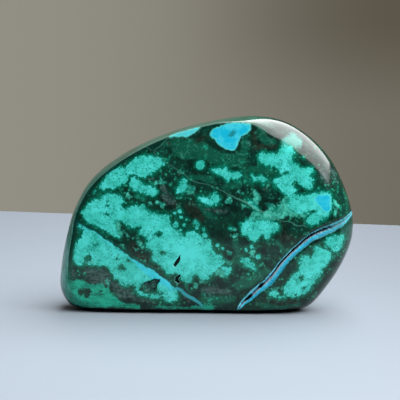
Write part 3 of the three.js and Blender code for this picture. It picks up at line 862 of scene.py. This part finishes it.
def noise(size, detail=2.0, roughness=0.5, distortion=0.0, at=None):
    """Noise with bumps about size mm across, centred on 0 and mostly within half of it."""
    inputs = {"Vector": at or place, "Scale": 1 / (size * MM), "Detail": detail, "Roughness": roughness}
    return make("ShaderNodeTexNoise", None, {**inputs, "Distortion": distortion}) - 0.5


def cells(size):
    """Distance from the middle of a random cell about size mm across, in cell sizes."""
    return make("ShaderNodeTexVoronoi", {"feature": "F1"}, {"Vector": place, "Scale": 1 / (size * MM)})


def blend(amount, under, over):
    """The colour under, with over laid on it by that amount."""
    return make("ShaderNodeMix", {"data_type": "RGBA"}, {0: amount, 6: under, 7: over}, output=2)


coarse, middling, fine, dust = noise(4.5, 3), noise(1.7, 3, 0.6), noise(0.75, 2, 0.6), noise(0.4, 1)
clusters = noise(3.4, 2)
print(len(tree.nodes), "nodes for the noise")

# %% [markdown]
# ## The dark stone's colours
#
# Malachite is bottle green and mottled. Where it's greener, paler filaments are combed through it, and it
# shows bent bands, the cut edges of its growth layers: a sine of slow noise. Brown, grey and bright green
# lie on top.

# %% The dark stone's colours
dark = blend((coarse + middling * 0.6 + 0.5).step(0.2, 0.8), tint(5, 30, 24), tint(14, 60, 45))
green = (painted("green") + coarse * 0.9 + middling * 0.7).step(0.15, 1.0)
ground = blend(green, dark, tint(12, 80, 60))
combed = noise(1.5, 4, 0.6, distortion=0.6, at=stretched((0.4, 1.0, 2.2)))
ground = blend(combed.step(0.0, 0.25) * green * 0.7, ground, tint(30, 118, 96))
bands = (noise(8, 2, 0.45) * 75 + middling * 4).math("SINE").step(0.5, 1.0)
broken = (middling + 0.5).step(0.35, 0.7)
ground = blend(bands * (0.05 + green * 0.3) * broken, ground, tint(76, 150, 128))
brown = (painted("brown") + middling * 0.9 + fine * 0.5).step(0.2, 0.9)
brown_tone = blend((middling + fine * 0.5).step(-0.15, 0.2), tint(18, 32, 25), tint(46, 54, 45))
ground = blend(brown * 0.75, ground, brown_tone)
grey = (painted("grey") + middling * 1.1 + fine * 0.6 + coarse * 0.4).step(0.2, 1.0)
grey_tone = blend((fine + combed * 1.2).step(-0.22, 0.25), tint(26, 58, 52), tint(72, 98, 94))
ground = blend(grey * 0.85, ground, grey_tone)
bright = (painted("bright") + middling * 1.6 + fine * 1.1 + coarse * 1.2).step(0.15, 0.85)
bright_tone = blend((coarse + combed + fine * 0.6).step(-0.3, 0.3), tint(2, 112, 90), tint(30, 172, 140))
ground = blend(bright, ground, bright_tone)
print(len(tree.nodes), "nodes with the dark stone")

# %% [markdown]
# ## The turquoise's colours
#
# A green halo and scattered grains lie round every mass, then the jade, then the turquoise itself. That is
# paler at heart, mottled near its frayed rims, and peppered with dark specks and blots, which come in
# clusters.

# %% The turquoise's colours
fray = fine * 1.7 + middling * 1.9 + dust * 0.9
turquoise_depth = painted("turquoise") + fray
grain_depth = painted("grains") + fine * 0.6 + dust * 0.6
halo = (turquoise_depth + coarse * 1.2).step(-1.9, -0.1).math("MAXIMUM", grain_depth.step(-1.1, -0.1))
ground = blend(halo * 0.8, ground, tint(0, 90, 68))
flecks = (fine + 0.5 * middling).step(0.12, 0.26)
ground = blend(flecks * (0.06 + 0.55 * halo + 0.2 * grey), ground, tint(50, 158, 128))
scattered = cells(1.5).step(0.33, 0.2) * (coarse + clusters).step(-0.05, 0.1)
beside_masses = turquoise_depth.step(-4.5, -2.0) * turquoise_depth.step(0.0, -0.9)
ground = blend(scattered * beside_masses * 0.8, ground, tint(36, 150, 118))
paler = (fine * 0.7 + middling + coarse * 0.8).step(-0.25, 0.35)
jade_tone = blend(paler, tint(10, 116, 94), tint(84, 208, 184))
ground = blend((painted("jade") + fray * 0.7).step(-0.4, 0.5) * 0.9, ground, jade_tone)
ground = blend(turquoise_depth.step(-0.8, 0.0) * 0.7, ground, tint(12, 126, 102))
tone = (turquoise_depth * 0.1 + middling * 1.3 + coarse * 1.2 + fine * 0.5 - clusters * 0.6).step(-0.4, 0.65)
body = blend(tone, tint(50, 186, 167), tint(80, 218, 208))
body = blend((coarse + middling * 0.4).step(0.08, 0.36) * 0.6, body, tint(86, 224, 220))
mottle = (noise(2.2, 4, 0.7) + dust * 0.4).step(0.02, -0.14) * turquoise_depth.step(6.0, 1.0)
body = blend(mottle * 0.7, body, tint(26, 150, 128))
specks = cells(0.8).step(0.42, 0.24) * (clusters + middling * 0.5 - turquoise_depth * 0.02).step(-0.1, 0.1)
body = blend(specks * 0.7, body, tint(6, 118, 102))
blots = (middling + fine * 0.8 + dust * 0.3).step(-0.2, -0.34) * (clusters + 0.12).step(-0.1, 0.1)
body = blend(blots * 0.85, body, tint(2, 100, 84))
colour = blend(turquoise_depth.step(-0.1, 0.25).math("MAXIMUM", grain_depth.step(-0.2, 0.2)), ground, body)
print(len(tree.nodes), "nodes with the turquoise")

# %% [markdown]
# ## The streaked edge
#
# Round the left and the top the ridge is crisp, and the stone outside it is streaked green. A dark line
# runs just inside the ridge. It's laid on here, beneath the sky blue. The band itself is only worked out,
# because it goes over the seam, which comes first. It is painted lighter low down and darker at the top,
# as painted light, and a faint painted highlight runs along the upper ridge.

# %% The streaked edge
streaks = noise(1.6, 3, 0.6, at=stretched((0.35, 2.2, 0.35)))
ridge = painted("ridge") + fine * 0.5 + streaks * 0.4
crisp = painted("edge_band")
colour = blend(ridge.step(1.7, 0.9) * crisp.step(0.2, 0.7) * 0.85, colour, tint(4, 46, 36))
band = ridge.step(0.15, -0.2) * crisp.step(0.1, 0.6)
height = along("Z")
# Painted light: the band is painted lighter low down, for the fill light the left side lacks, and darker at
# the top.
upper = height.step(26 * MM, 52 * MM)
streak = (streaks + 0.5).step(0.3, 0.7)
band_colour_painted_lit = blend(upper, blend(streak, tint(28, 122, 102), tint(98, 198, 178)),
                  blend(streak, tint(0, 48, 34), tint(24, 98, 80)))
# A painted highlight along the upper ridge.
painted_glint = painted("ridge").math("ABSOLUTE").step(0.35, 0.1) * crisp * upper
print(len(tree.nodes), "nodes with the edge")

# %% [markdown]
# ## Sky blue, seam and cracks
#
# The sky blue has a mint rim and one green-brown stain. The long seam is dark just above its line and
# bright blue just below it, with a soft blue film. The healed cracks are thin pale lines, and the edge's
# band follows with its painted light, then the painted highlight on the upper ridge.

# %% Sky blue, seam and cracks
sky_depth = painted("sky") + fine * 0.6 + middling * 0.5
deeper = (middling + coarse + sky_depth * 0.06).step(-0.2, 0.3)
sky_tone = blend(deeper, tint(64, 204, 220), tint(20, 180, 210))
sky_tone = blend((fine + dust * 0.5).step(0.14, 0.28) * 0.5, sky_tone, tint(20, 130, 160))
sky_tone = blend(sky_depth.step(0.6, 0.0) * 0.7, sky_tone, tint(96, 224, 206))
sky_tone = blend((painted("stain") + fine * 0.8).step(-0.5, 0.4) * 0.85, sky_tone, tint(28, 124, 128))
colour = blend(sky_depth.step(-0.3, 0.3), colour, sky_tone)
colour = blend((painted("pale") + fine * 1.5 + middling).step(-0.8, 0.8) * 0.45, colour, tint(104, 206, 190))
film = (painted("film") + middling * 0.8 + fine * 0.5).step(0.25, 0.85) * turquoise_depth.step(-0.6, 0.3)
colour = blend(film * 0.7, colour, tint(52, 204, 226))
top = painted("seam_top") + fine * 0.2
colour = blend(top.step(-0.1, 0.1) * top.step(1.1, 0.3) * 0.75, colour, tint(6, 52, 46))
below = top.step(-1.9, -0.4) * top.step(0.05, -0.1) * (0.5 + coarse + middling * 0.5).step(0.35, 0.8)
colour = blend(below * 0.7, colour, tint(70, 216, 230))
tail = painted("seam_half") - (painted("seam") + middling * 0.5).math("ABSOLUTE")
colour = blend(tail.step(-0.4, 0.2) * 0.75, colour, tint(54, 174, 182))
crack = painted("vein_half") - (painted("vein") + fine * 0.25).math("ABSOLUTE")
colour = blend(crack.step(-0.12, 0.1) * (0.1 + painted("vein_half") * 1.3), colour, tint(92, 170, 150))
# The band goes on, with its painted light.
colour = blend(band * 0.95, colour, band_colour_painted_lit)
# The painted highlight along the upper ridge.
colour = blend(painted_glint * 0.2, colour, tint(150, 200, 186))
print(len(tree.nodes), "nodes with the seam")

# %% [markdown]
# ## The fissure's colours
#
# The two walls of the fissure are lined differently: thin and pale above the gap, broad and blue below it,
# with a lilac-grey lip between. One ramp across the lining holds all of that. The gap and the slits are
# painted dark as shade, the slits with a faint painted highlight round their rims. The hollow is plain
# dark.

# %% The fissure's colours
across = painted("across") + fine * 0.25 + middling * 0.2
inside = across.math("ABSOLUTE").step(1.06, 0.94)
# The dark stops at the ramp's middle are painted shade at the mouth of the gap.
walls = make("ShaderNodeValToRGB", {"stops": [
    (0.0, tint(40, 132, 130)), (0.07, tint(30, 140, 160)), (0.16, tint(28, 172, 206)),
    (0.3, tint(44, 184, 212)), (0.36, tint(156, 166, 180)), (0.45, tint(120, 128, 136)),
    (0.5, tint(20, 36, 44)), (0.6, tint(26, 62, 74)), (0.7, tint(52, 160, 190)),
    (0.82, tint(126, 222, 234)), (1.0, tint(34, 140, 148)),
]}, {"Fac": across * 0.5 + 0.5})
walls = blend((middling * 0.7 + fine + dust).step(0.02, 0.22) * 0.7, walls, tint(18, 104, 140))
walls = blend((fine - middling).step(0.12, 0.3) * 0.5, walls, tint(120, 224, 232))
walls = blend(along("X").step(32 * MM, 46 * MM) * 0.55, walls, tint(64, 148, 150))
colour = blend(inside, colour, walls)
# Painted shade: the open gap is painted near black.
colour = blend(painted("gap").step(-0.1, 0.06), colour, tint(3, 6, 7))
# A faint painted highlight round the rims of the slits.
colour = blend(painted("slit").step(-0.3, -0.1) * 0.25, colour, tint(140, 225, 215))
# Painted shade: the slits are painted dark inside.
colour = blend(painted("slit").step(-0.1, 0.1), colour, tint(8, 40, 36))
hollow_tone = blend((middling + fine).step(-0.1, 0.2), tint(14, 44, 42), tint(44, 110, 96))
colour = blend((painted("hollow") + fine).step(-0.1, 0.3), colour, hollow_tone)
print(len(tree.nodes), "nodes with the fissure")

# %% [markdown]
# ## The polish
#
# The stone is polished to a gloss, a little duller on the softer turquoise and rough in the fissure. The
# most worked places, the shoulder and the back, carry a second clear gloss. On the face that sheen breaks
# up into streaks towards its lower border.

# %% The polish
roughness = 0.12 + 0.08 * turquoise_depth.step(-0.15, 0.3) + 0.5 * inside + fine * 0.05
right = along("X")
outwards = painted("edge") + fine * 0.1 + streaks * 0.15 - right.step(20 * MM, 42 * MM) * 0.3
shoulder = right.step(6 * MM, 16 * MM) * height.step(34 * MM, 46 * MM)
shoulder = shoulder * outwards.step(0.16, 0.36) * (0.85 + streaks + fine * 0.5)
worked = shoulder.math("MAXIMUM", along("Y").step(-3 * MM, 5 * MM))
grit = make("ShaderNodeBump", None, {"Strength": 0.2, "Distance": 0.1 * MM,
                                       "Height": (fine + middling) * (inside * 3 + 0.02)})
signals = {"Base Color": colour, "Roughness": roughness, "Coat Weight": worked * 0.6, "Normal": grit}
for socket, signal in signals.items():
    tree.links.new(signal.socket, surface.inputs[socket])
steady = {"IOR": 1.55, "Specular IOR Level": 0.3, "Coat Roughness": 0.12, "Coat Tint": (0.94, 0.97, 1, 1)}
for socket, value in steady.items():
    surface.inputs[socket].default_value = value
stone.data.materials.append(finish)
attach(stone, "root")
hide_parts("stone")
print(len(tree.nodes), "nodes in", finish.name)

# %% [markdown]
# ## The studio
#
# A pale table whose far edge shows behind the stone, painted darker towards the back and the back right as
# shade, a warm grey wall far away that glows with painted light and shade, and one large soft light
# overhead, a little to the right. That light makes the white sheen on the upper right shoulder.

# %% The studio
TABLE_FRONT, TABLE_BACK, TABLE_HALF = -0.17, 0.245, 1.6  # metres, as everything in the studio
TABLE_TURN = math.radians(12.5)  # how far the table's far edge is turned from the camera's straight across
WALL_SIZE, WALL_AWAY, WALL_UP = 5, 1.9, 0.3
LIGHT_SIZE, LIGHT_AT, LIGHT_POWER = (1.6, 2.1), Vector((0.7, -0.1, 0.83)), 66

bpy.ops.object.select_all(action="DESELECT")
bpy.ops.mesh.primitive_plane_add(size=2)
table = bpy.context.object
table.name = "table"
for point in table.data.vertices:
    x, y = point.co.x * TABLE_HALF, TABLE_BACK if point.co.y > 0 else TABLE_FRONT
    point.co = (x, y - x * math.tan(TABLE_TURN) * (point.co.y > 0), 0)
table_finish, tree, surface = new_finish("table_top")
place = make("ShaderNodeTexCoord", output="Object")
# Painted shade: the table's pale colour is made darker towards the back, and darker still at the back right.
table_tone_painted_shade = blend(along("Y").step(-0.1, 0.3), tint(132, 141, 151), tint(119, 127, 137))
painted_shade = along("X").step(-0.05, 0.2) * along("Y").step(-0.25, 0.1)
table_tone_painted_shade = blend(painted_shade, table_tone_painted_shade, tint(96, 102, 110))
tree.links.new(table_tone_painted_shade.socket, surface.inputs["Base Color"])
surface.inputs["Roughness"].default_value = 0.6
surface.inputs["Specular IOR Level"].default_value = 0.2
table.data.materials.append(table_finish)

bpy.ops.mesh.primitive_plane_add(size=WALL_SIZE)
wall = bpy.context.object
wall.name = "wall"
wall.data.transform(Matrix.Translation((0, WALL_AWAY, WALL_UP)) @ Matrix.Rotation(math.pi / 2, 4, "X"))
wall_finish, tree, surface = new_finish("glowing_wall")
place = make("ShaderNodeTexCoord", output="Object")
# The wall glows, and its glow is painted light: brighter on the left, with painted shade at the top right
# and the far left.
glowing_wall_light = blend(along("X").step(-0.35, 0.4), tint(146, 143, 132), tint(113, 108, 97))
painted_shade = along("X").step(-0.1, 0.35) * along("Z").step(-0.05, 0.14)
glowing_wall_light = blend(painted_shade, glowing_wall_light, tint(92, 86, 74))
glowing_wall_light = blend(along("X").step(-0.5, -0.9), glowing_wall_light, tint(90, 92, 88))
tree.links.new(glowing_wall_light.socket, surface.inputs["Emission Color"])
surface.inputs["Emission Strength"].default_value = 1
surface.inputs["Base Color"].default_value = (0, 0, 0, 1)
surface.inputs["Specular IOR Level"].default_value = 0
wall.data.materials.append(wall_finish)

lamp = bpy.data.lights.new("overhead", "AREA")
lamp.shape, lamp.energy = "RECTANGLE", LIGHT_POWER
lamp.size, lamp.size_y = LIGHT_SIZE
holder = bpy.data.objects.new("overhead", lamp)
bpy.context.scene.collection.objects.link(holder)
holder.location = LIGHT_AT  # an area light shines straight down when it isn't turned
world = bpy.data.worlds.new("room")
world.use_nodes = True
world.node_tree.nodes["Background"].inputs["Color"].default_value = tint(120, 124, 128)
world.node_tree.nodes["Background"].inputs["Strength"].default_value = 0.3
bpy.context.scene.world = world
bpy.context.scene.view_settings.view_transform = "Standard"
print("light", LIGHT_POWER, "W,", LIGHT_AT.z, "m up")

# %% [markdown]
# ## The camera
#
# A long lens, half a metre off and looking slightly down, shows the stone nearly square on, as catalogue
# pictures of polished stones do. It's aimed a little above the stone's middle, and rolled by half a
# degree.

# %% The camera
TARGET, DISTANCE = Vector((0, -14, 31)) * MM, 470 * MM
LOOK_DOWN, AIM_UP, AIM_LEFT, ROLL = (math.radians(angle) for angle in (7, 0.8, 0.27, 0.5))
LENS, SENSOR = 129.1, 36

lens = bpy.data.cameras.new("camera")
lens.lens, lens.sensor_width, lens.clip_start = LENS, SENSOR, 0.01
camera = bpy.data.objects.new("camera", lens)
bpy.context.scene.collection.objects.link(camera)
stand = TARGET + DISTANCE * Vector((0, -math.cos(LOOK_DOWN), math.sin(LOOK_DOWN)))
camera.matrix_world = (
    Matrix.Translation(stand) @ Matrix.Rotation(AIM_LEFT, 4, "Z")
    @ Matrix.Rotation(math.pi / 2 - LOOK_DOWN + AIM_UP, 4, "X") @ Matrix.Rotation(ROLL, 4, "Z")
)
bpy.context.scene.camera = camera
print("camera stands", [round(value, 3) for value in stand])

# %% [markdown]
# ## Sizes, and the end
#
# The finished stone has to stay inside the box of the measured solid, which its shape was clipped to. The
# last step brings the scene up to date.

# %% Sizes, and the end
bpy.context.view_layer.update()
